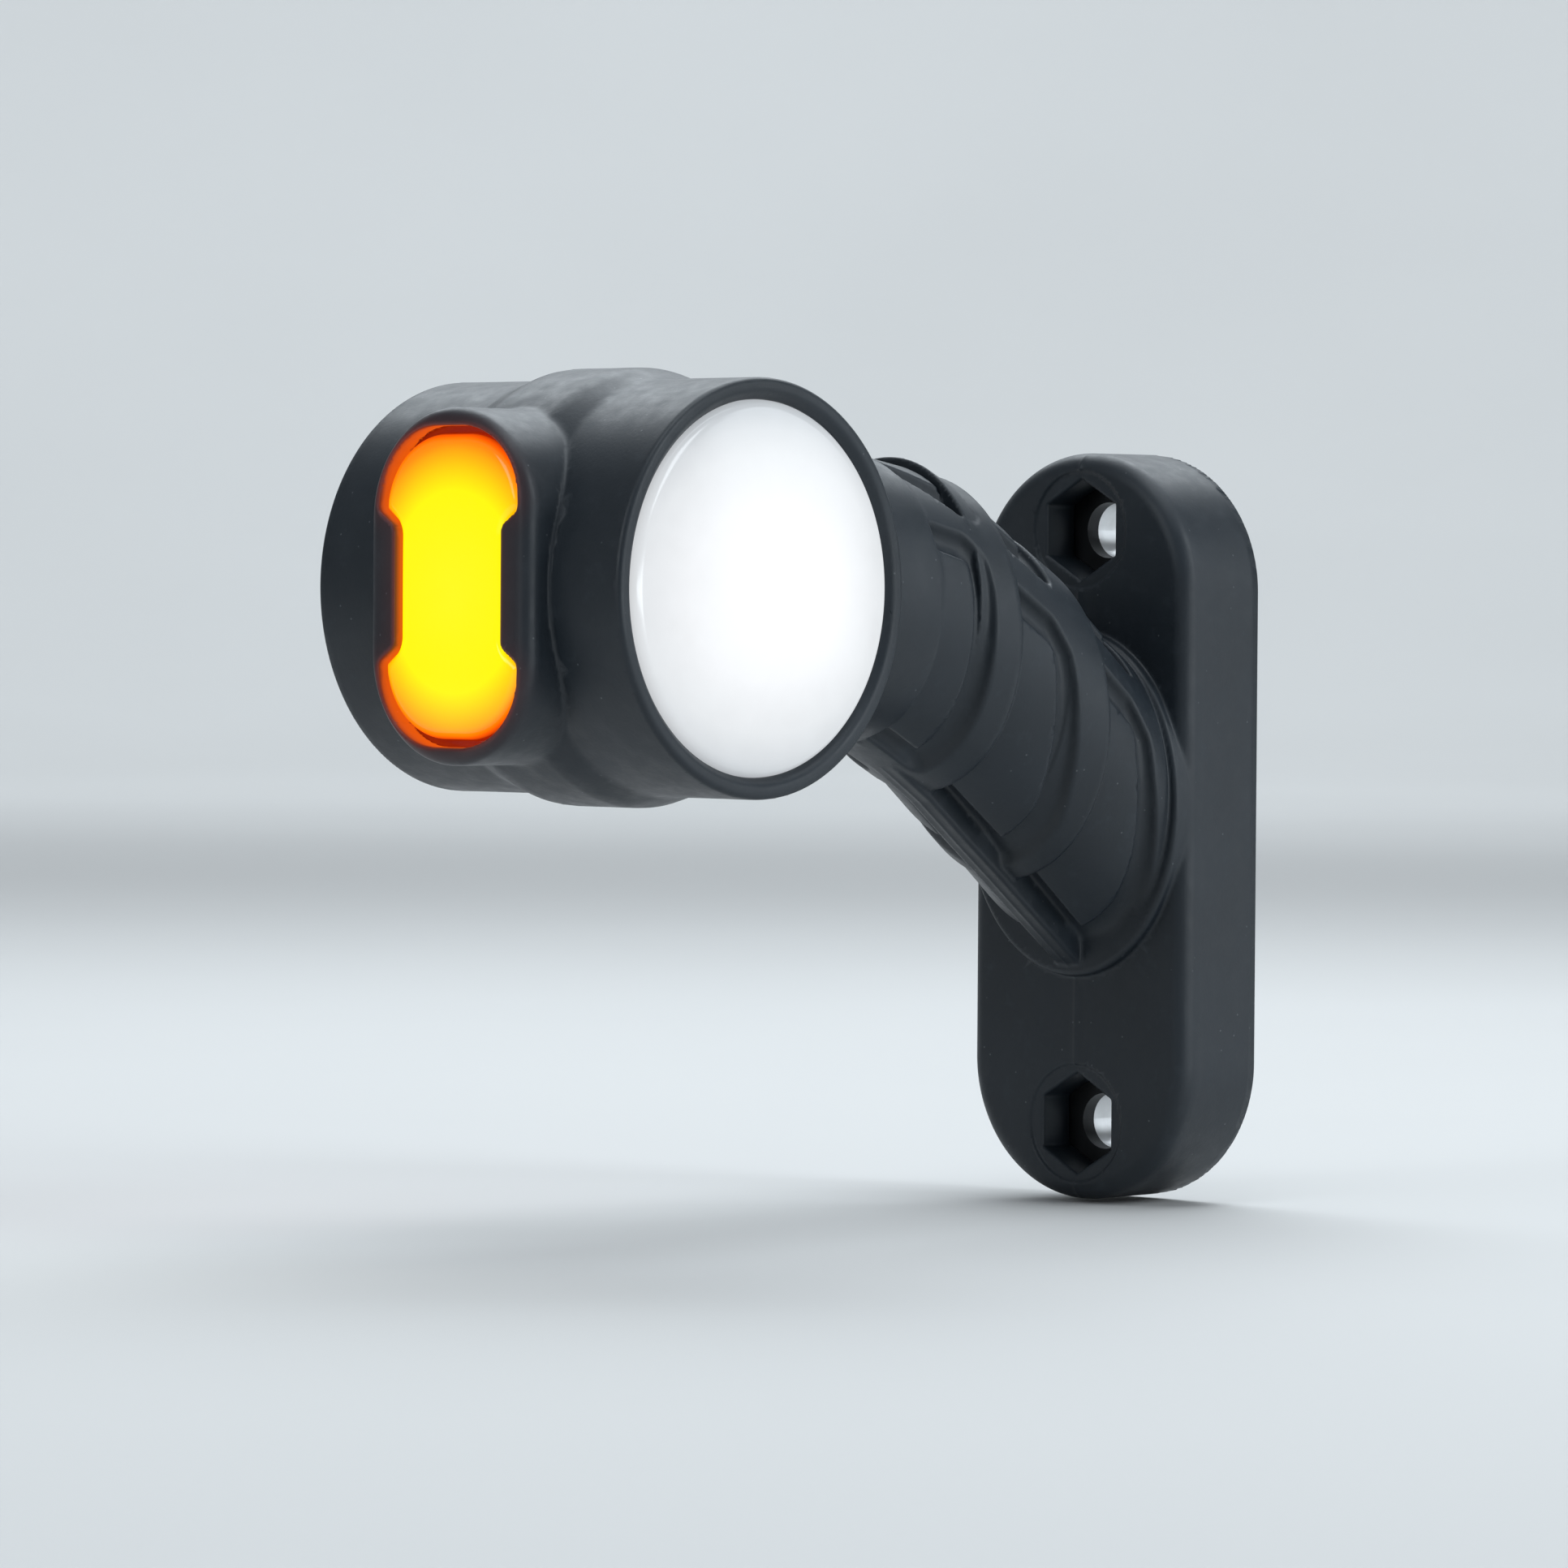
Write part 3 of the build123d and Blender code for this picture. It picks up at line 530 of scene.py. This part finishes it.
# ---- lenses -------------------------------------------------------------------------------
def turned(name, profile, steps=160):
    """Closed body turned round the head's axis from (radius, y) points, in millimetres."""
    bm = bmesh.new()
    rings = []
    for radius, y in profile:
        if radius < 1e-6:
            rings.append([bm.verts.new((HEAD_X * MM, y * MM, HEAD_Z * MM))])
            continue
        angles = [2 * math.pi * i / steps for i in range(steps)]
        rings.append([bm.verts.new(((HEAD_X + radius * math.cos(a)) * MM, y * MM,
                                    (HEAD_Z + radius * math.sin(a)) * MM)) for a in angles])
    for one, two in zip(rings, rings[1:]):
        for i in range(steps):
            a = one[i % len(one)]
            b = one[(i + 1) % len(one)]
            c = two[(i + 1) % len(two)]
            d = two[i % len(two)]
            corners = [v for n, v in enumerate((a, b, c, d)) if v not in (a, b, c, d)[:n]]
            bm.faces.new(corners)
    bmesh.ops.recalc_face_normals(bm, faces=bm.faces)
    mesh = bpy.data.meshes.new(name)
    bm.to_mesh(mesh)
    bm.free()
    mesh.shade_smooth()
    obj = bpy.data.objects.new(name, mesh)
    bpy.context.scene.collection.objects.link(obj)
    return obj


def end_lens(name, face_y, crown_y, skirt_y):
    """Round lens: a shallow crown, a rounded rim and a skirt that seats on its seal."""
    inward = 1 if skirt_y > face_y else -1
    edge = LENS_EDGE
    outer = [(0.0, crown_y)]
    steps = 12
    for i in range(1, steps + 1):
        share = i / steps
        outer.append(((BARREL_R - edge) * share, crown_y + (face_y - crown_y) * share ** 2.2))
    for i in range(1, 7):
        a = math.radians(15 * i)
        outer.append((BARREL_R - edge + edge * math.sin(a), face_y + inward * edge * (1 - math.cos(a))))
    wall = BARREL_R - LENS_SKIRT
    inner_y = face_y + inward * LENS_THICKNESS
    outer += [(BARREL_R, face_y + inward * 2.4), (BARREL_R, skirt_y), (wall, skirt_y),
              (wall, inner_y + inward * 0.6), (wall - 0.6, inner_y), (wall * 0.5, inner_y), (0.0, inner_y)]
    return turned(name, outer)


def build_side_lens():
    """Side lens: a cushion that stands almost flush with the boss, on a flange behind."""
    low = [v - 1.2 for v in SIDE_LENS_LOW]
    low[0] = BOSS_X - 0.8
    high = [v + 1.2 for v in SIDE_LENS_HIGH]
    grid = Grid(low, high, 0.15)
    outline = window(grid, -LENS_SLIP)
    lobes = rounded_box(grid.y, grid.z - HEAD_Z, WINDOW_HALF_WIDTH, SIDE_LENS_TOP, WINDOW_CORNER)
    fall = 0.5 * ((grid.y / WINDOW_HALF_WIDTH) ** 2 + ((grid.z - HEAD_Z) / SIDE_LENS_TOP) ** 4)
    plate = meet(np.maximum(outline, lobes), SIDE_LENS_CROWN + fall - grid.x, LENS_EDGE)
    plate = np.maximum(plate, grid.x - SIDE_LENS_HIGH[0])
    flange = stadium(grid.y, grid.z - HEAD_Z, (SIDE_LENS_HIGH[1] - SIDE_LENS_LOW[1]) / 2,
                     (SIDE_LENS_HIGH[2] - SIDE_LENS_LOW[2]) / 2)
    flange = np.maximum(flange, np.maximum(SIDE_FLANGE_X - grid.x, grid.x - SIDE_LENS_HIGH[0]))
    return mesh_from_field("side_lens_moulding", grid, np.minimum(plate, flange))


def build_lead(name, side_y):
    """Insulated lead inside the arm, from the lamp's barrel to the plug inlet."""
    curve = bpy.data.curves.new(name, "CURVE")
    curve.dimensions = "3D"
    curve.bevel_depth = LEAD_R * MM
    curve.bevel_resolution = 5
    curve.resolution_u = 24
    curve.use_fill_caps = True
    spline = curve.splines.new("NURBS")
    spline.points.add(len(LEAD_RUN) - 1)
    for point, (x, z) in zip(spline.points, LEAD_RUN):
        point.co = (x * MM, side_y * MM, z * MM, 1.0)
    spline.order_u = 3
    spline.use_endpoint_u = True
    shape = bpy.data.objects.new(name + "_curve", curve)
    bpy.context.scene.collection.objects.link(shape)
    mesh = bpy.data.meshes.new_from_object(shape.evaluated_get(bpy.context.evaluated_depsgraph_get()))
    bpy.data.objects.remove(shape)
    mesh.name = name
    mesh.materials.clear()
    mesh.shade_smooth()
    obj = bpy.data.objects.new(name, mesh)
    bpy.context.scene.collection.objects.link(obj)
    return obj


# ---- materials ----------------------------------------------------------------------------
def new_material(name):
    material = bpy.data.materials.new(name)
    material.use_nodes = True
    nodes = material.node_tree.nodes
    return material, nodes, material.node_tree.links, nodes["Principled BSDF"]


def object_point(nodes):
    return nodes.new("ShaderNodeTexCoord").outputs["Object"]


def noise(nodes, links, point, scale, detail=4.0, rough=0.5):
    node = nodes.new("ShaderNodeTexNoise")
    node.inputs["Scale"].default_value = scale
    node.inputs["Detail"].default_value = detail
    node.inputs["Roughness"].default_value = rough
    links.new(point, node.inputs["Vector"])
    return node.outputs["Fac"]


def ramp(nodes, links, value, stops):
    node = nodes.new("ShaderNodeValToRGB")
    elements = node.color_ramp.elements
    while len(elements) < len(stops):
        elements.new(0.5)
    for element, (place, colour) in zip(elements, stops):
        element.position = place
        element.color = (*colour, 1.0)
    links.new(value, node.inputs["Fac"])
    return node.outputs["Color"]


def grey(v):
    return (v, v, v)


def bump(nodes, links, height, shader, strength, distance):
    node = nodes.new("ShaderNodeBump")
    node.inputs["Strength"].default_value = strength
    node.inputs["Distance"].default_value = distance
    links.new(height, node.inputs["Height"])
    links.new(node.outputs["Normal"], shader.inputs["Normal"])


def mixed(nodes, links, share, one, two):
    """Colour that goes from one to two by a share."""
    node = nodes.new("ShaderNodeMix")
    node.data_type = "RGBA"
    links.new(share, node.inputs["Factor"])
    for value, name in ((one, "A"), (two, "B")):
        if isinstance(value, tuple):
            node.inputs[name].default_value = (*value, 1.0)
        else:
            links.new(value, node.inputs[name])
    return node.outputs["Result"]


def rubber():
    """Soft black moulded rubber with a fine grain, paler scuffs, a few specks of dust and a painted orange
    glow of the side lens's light round its window.
    """
    material, nodes, links, shader = new_material("moulded_rubber")
    point = object_point(nodes)
    clouds = noise(nodes, links, point, 55.0)
    base = ramp(nodes, links, clouds, [(0.3, (0.0095, 0.0140, 0.0190)), (0.7, (0.0135, 0.0195, 0.0265))])
    smears = noise(nodes, links, point, 420.0, 6.0, 0.65)
    scuffed = mixed(nodes, links, ramp(nodes, links, smears, [(0.56, grey(0.0)), (0.80, grey(0.35))]),
                    base, (0.036, 0.046, 0.056))
    cells = nodes.new("ShaderNodeTexVoronoi")
    cells.inputs["Scale"].default_value = 430.0
    links.new(point, cells.inputs["Vector"])
    speck = ramp(nodes, links, cells.outputs["Distance"], [(0.0, grey(0.9)), (0.065, grey(0.0))])
    links.new(mixed(nodes, links, speck, scuffed, (0.12, 0.13, 0.14)), shader.inputs["Base Color"])
    rough = ramp(nodes, links, smears, [(0.3, grey(0.40)), (0.75, grey(0.54))])
    links.new(rough, shader.inputs["Roughness"])
    fine = noise(nodes, links, point, 2600.0, 3.0)
    bump(nodes, links, fine, shader, 0.22, 0.00006)
    shader.inputs["Specular IOR Level"].default_value = 0.42
    # Painted light: an orange glow painted into the rubber's emission where the side lens's light falls on
    # the boss round the window, strongest at the window's edge.
    spill = nodes.new("ShaderNodeAttribute")
    spill.attribute_name = "painted_lens_spill"
    stops = [(0.0, grey(0.0)), (0.4, (0.018, 0.0018, 0.0004)), (0.75, (0.16, 0.012, 0.001)),
             (1.0, (0.80, 0.10, 0.002))]
    glow = ramp(nodes, links, spill.outputs["Fac"], stops)
    links.new(glow, shader.inputs["Emission Color"])
    shader.inputs["Emission Strength"].default_value = 1.0
    return material


def distance_from(nodes, links, point, centre, scale):
    """Length of the scaled offset of a point from a centre."""
    offset = nodes.new("ShaderNodeVectorMath")
    offset.operation = "SUBTRACT"
    offset.inputs[1].default_value = centre
    links.new(point, offset.inputs[0])
    scaled = nodes.new("ShaderNodeVectorMath")
    scaled.operation = "MULTIPLY"
    scaled.inputs[1].default_value = scale
    links.new(offset.outputs[0], scaled.inputs[0])
    length = nodes.new("ShaderNodeVectorMath")
    length.operation = "LENGTH"
    links.new(scaled.outputs[0], length.inputs[0])
    return length.outputs["Value"]


def lit_end_lens(name, glow_stops, tint, roughness):
    """Round lit lens, brightest a little below the middle and fading to its rim."""
    material, nodes, links, shader = new_material(name)
    point = object_point(nodes)
    per = 1 / (BARREL_R * MM)
    centre = (HEAD_X * MM, 0, (HEAD_Z - 0.6) * MM)
    share = distance_from(nodes, links, point, centre, (per * 0.8, 0, per * 1.03))
    links.new(ramp(nodes, links, share, glow_stops), shader.inputs["Emission Color"])
    shader.inputs["Emission Strength"].default_value = 1.0
    clouds = noise(nodes, links, point, 260.0)
    dark = tuple(c * 0.9 for c in tint)
    links.new(ramp(nodes, links, clouds, [(0.3, dark), (0.7, tint)]), shader.inputs["Base Color"])
    rough = ramp(nodes, links, clouds, [(0.2, grey(roughness * 0.8)), (0.8, grey(roughness * 1.2))])
    links.new(rough, shader.inputs["Roughness"])
    bump(nodes, links, noise(nodes, links, point, 900.0, 2.0), shader, 0.05, 0.00003)
    return material


def opal_lens():
    """Milky lens lit white."""
    stops = [(0.0, (0.735, 0.735, 0.735)), (0.48, (0.70, 0.70, 0.71)), (0.76, (0.60, 0.61, 0.62)),
             (0.90, (0.50, 0.515, 0.53)), (1.0, (0.38, 0.40, 0.42))]
    return lit_end_lens("opal_lens", stops, (0.21, 0.213, 0.217), 0.16)


def red_lens():
    """Red lens, lit."""
    stops = [(0.0, (0.95, 0.045, 0.02)), (0.5, (0.85, 0.020, 0.010)), (0.85, (0.55, 0.008, 0.004)),
             (1.0, (0.32, 0.003, 0.002))]
    return lit_end_lens("red_lens", stops, (0.30, 0.006, 0.004), 0.14)


def amber_lens():
    """Lit amber lens: yellow over the lamp's chips, orange towards the rim."""
    material, nodes, links, shader = new_material("amber_lens")
    point = object_point(nodes)
    clouds = noise(nodes, links, point, 300.0)
    centre = (SIDE_LENS_CROWN * MM, -0.0008, (HEAD_Z - 0.6) * MM)
    share = distance_from(nodes, links, point, centre, (1 / 0.0025, 1 / 0.0230, 1 / 0.0250))
    glow = ramp(nodes, links, share, [(0.0, (0.95, 0.94, 0.012)), (0.44, (0.95, 0.93, 0.001)),
                                      (0.55, (0.95, 0.60, 0.001)), (0.66, (0.92, 0.26, 0.001)),
                                      (0.78, (0.85, 0.09, 0.001)), (0.95, (0.16, 0.006, 0.001))])
    links.new(glow, shader.inputs["Emission Color"])
    shader.inputs["Emission Strength"].default_value = 1.0
    tint = ramp(nodes, links, clouds, [(0.3, (0.22, 0.03, 0.001)), (0.7, (0.26, 0.04, 0.001))])
    links.new(tint, shader.inputs["Base Color"])
    shader.inputs["Roughness"].default_value = 0.12
    shader.inputs["Specular IOR Level"].default_value = 0.35
    return material


def plain(name, colour, roughness, metal=0.0, scale=400.0, depth=0.00003, spread=0.12):
    """Moulded or plated surface with a little mottling in its colour and a fine grain."""
    material, nodes, links, shader = new_material(name)
    point = object_point(nodes)
    clouds = noise(nodes, links, point, scale)
    dark = tuple(c * (1 - spread) for c in colour)
    light = tuple(min(c * (1 + spread), 1) for c in colour)
    links.new(ramp(nodes, links, clouds, [(0.3, dark), (0.7, light)]), shader.inputs["Base Color"])
    high = min(roughness * 1.15, 1)
    rough = ramp(nodes, links, clouds, [(0.2, grey(roughness * 0.85)), (0.8, grey(high))])
    links.new(rough, shader.inputs["Roughness"])
    shader.inputs["Metallic"].default_value = metal
    bump(nodes, links, noise(nodes, links, point, scale * 5, 2.0), shader, 0.15, depth)
    return material


def dress_frame():
    """A procedural material for every CAD node, by its slot in the record."""
    made = {
        "steel_black": plain("black_coated_steel", (0.016, 0.017, 0.019), 0.42, 0.6),
        "steel_zinc": plain("zinc_plated_steel", (0.62, 0.63, 0.64), 0.36, 1.0),
        "screw_steel": plain("screw_steel", (0.55, 0.56, 0.58), 0.3, 1.0),
        "plastic_black": plain("black_plastic", (0.025, 0.025, 0.028), 0.45),
        "pin_brass": plain("brass_pin", (0.78, 0.6, 0.3), 0.25, 1.0),
        "potting_resin": plain("potting_resin", (0.03, 0.027, 0.024), 0.15),
        "diffuser_white": plain("milky_diffuser", (0.86, 0.87, 0.88), 0.5),
        "reflector_white": plain("white_reflector", (0.88, 0.88, 0.86), 0.4),
        "circuit_board": plain("circuit_board", (0.03, 0.2, 0.09), 0.3),
        "led_package": plain("led_package", (0.85, 0.75, 0.3), 0.3),
        "component_black": plain("component_black", (0.03, 0.03, 0.033), 0.5),
        "capacitor_can": plain("capacitor_can", (0.7, 0.71, 0.73), 0.3, 1.0),
        "wire_red": plain("red_insulation", (0.45, 0.02, 0.02), 0.4),
        "wire_black": plain("black_insulation", (0.02, 0.02, 0.022), 0.4),
        "rubber_seal": plain("rubber_seal", (0.03, 0.03, 0.031), 0.65),
        "rubber_black": RUBBER,
        "lens_opal": OPAL,
        "lens_red": RED,
        "lens_amber": AMBER,
    }
    for entry in frame["record"]["subparts"]:
        mesh = frame["nodes"][entry["node"]].data
        mesh.materials.clear()
        mesh.materials.append(made[entry["material_slot"]])
    return made


# ---- stage --------------------------------------------------------------------------------
def build_stage():
    """Round pale floor that curves up into a backdrop on every side."""
    floor_z = FOOT_LOW[2] * MM - 0.0004
    floor_r, turn_r, height = 2.2, 1.2, 3.0
    profile = [(0.0, floor_z), (floor_r, floor_z)]
    for i in range(1, 13):
        a = math.radians(7.5 * i)
        profile.append((floor_r + turn_r * math.sin(a), floor_z + turn_r * (1 - math.cos(a))))
    profile.append((floor_r + turn_r, floor_z + height))
    bm = bmesh.new()
    steps = 96
    turns = [2 * math.pi * i / steps for i in range(steps)]
    rings = [[bm.verts.new((r * math.cos(a), r * math.sin(a), z)) for a in turns] for r, z in profile[1:]]
    bm.faces.new(rings[0])
    for one, two in zip(rings, rings[1:]):
        for i in range(steps):
            bm.faces.new((one[i], one[(i + 1) % steps], two[(i + 1) % steps], two[i]))
    bmesh.ops.recalc_face_normals(bm, faces=bm.faces)
    mesh = bpy.data.meshes.new("studio_floor")
    bm.to_mesh(mesh)
    bm.free()
    mesh.shade_smooth()
    obj = bpy.data.objects.new("studio_floor", mesh)
    bpy.context.scene.collection.objects.link(obj)
    mesh.materials.append(plain("pale_floor", (0.60, 0.60, 0.595), 0.8, scale=3.0, spread=0.02))


def area_light(name, place, target, size, power):
    """Slightly cool rectangular panel that faces its target, in metres and watts."""
    light = bpy.data.lights.new(name, "AREA")
    light.shape = "RECTANGLE"
    light.size, light.size_y = size
    light.energy = power
    light.color = (0.88, 0.95, 1.0)
    obj = bpy.data.objects.new(name, light)
    obj.location = place
    obj.rotation_euler = (Vector(target) - Vector(place)).to_track_quat("-Z", "Y").to_euler()
    bpy.context.scene.collection.objects.link(obj)


def build_lights():
    """Soft studio panels round the lamp, one for the backdrop, and a dim sky."""
    aim = (-0.07, 0, 0.02)
    area_light("top_light", (-0.05, -0.15, 0.85), aim, (0.9, 0.35), 3.4)
    area_light("rim_light", (0.34, 0.34, 0.62), aim, (0.8, 0.5), 5.0)
    area_light("key_light", (0.15, -0.85, 0.50), aim, (0.35, 0.5), 2.9)
    area_light("side_light", (0.70, -0.70, 0.20), aim, (0.25, 0.8), 1.8)
    area_light("low_light", (-0.05, -0.95, 0.02), aim, (0.9, 0.1), 2.2)
    area_light("head_light", (-0.95, 0.10, 0.40), aim, (0.3, 0.5), 1.8)
    area_light("backdrop_light", (1.1, 1.0, 1.7), (2.5, 2.25, 0.5), (1.2, 0.8), 38.0)
    world = bpy.data.worlds.new("studio_air")
    world.use_nodes = True
    world.node_tree.nodes["Background"].inputs["Color"].default_value = (0.78, 0.83, 0.90, 1)
    world.node_tree.nodes["Background"].inputs["Strength"].default_value = 0.33
    bpy.context.scene.world = world
    bpy.context.scene.view_settings.view_transform = "Standard"


def build_camera():
    """Long lens, almost level, looking at the lamp from in front and outside."""
    azimuth, elevation, roll = (math.radians(v) for v in CAMERA_TURN)
    back = Vector((math.sin(azimuth) * math.cos(elevation), -math.cos(azimuth) * math.cos(elevation),
                   math.sin(elevation)))
    right = Vector((math.cos(azimuth), math.sin(azimuth), 0))
    up = back.cross(right)
    turned_right = right * math.cos(roll) + up * math.sin(roll)
    turned_up = up * math.cos(roll) - right * math.sin(roll)
    camera = bpy.data.cameras.new("camera")
    camera.sensor_width = 36.0
    camera.lens = CAMERA_LENS
    camera.clip_end = 20.0
    obj = bpy.data.objects.new("camera", camera)
    axes = Matrix((turned_right, turned_up, back)).transposed().to_4x4()
    obj.matrix_world = Matrix.Translation(Vector(CAMERA_PLACE)) @ axes
    bpy.context.scene.collection.objects.link(obj)
    bpy.context.scene.camera = obj


# ---- make it ------------------------------------------------------------------------------
build_camera()
build_lights()
build_stage()
RUBBER = rubber()
OPAL = opal_lens()
AMBER = amber_lens()
RED = red_lens()
MADE = dress_frame()

moulding = build_rubber()
mark_spill(moulding)
moulding.data.materials.append(RUBBER)
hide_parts("rubber_foot", "arm_flex_section", "rubber_head_shell")
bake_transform(moulding)

front_lens = end_lens("front_lens_moulding", HEAD_FRONT_Y + 0.1, FRONT_LENS_LOW[1], FRONT_LENS_HIGH[1])
front_lens.data.materials.append(OPAL)
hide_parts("front_lens")
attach(front_lens, "head")

rear_lens = end_lens("rear_lens_moulding", HEAD_REAR_Y - 0.1, REAR_LENS_HIGH[1], REAR_LENS_LOW[1])
rear_lens.data.materials.append(RED)
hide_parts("rear_lens")
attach(rear_lens, "head")

side_lens = build_side_lens()
side_lens.data.materials.append(AMBER)
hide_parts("side_lens")
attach(side_lens, "head")

LEAD_SIDES = [("lead_positive", "wire_red", 3.4), ("lead_negative", "wire_black", -3.4)]
for cad_name, cad_slot, side_y in LEAD_SIDES:
    lead = build_lead(cad_name + "_run", side_y)
    lead.data.materials.append(MADE[cad_slot])
    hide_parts(cad_name)
    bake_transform(lead)
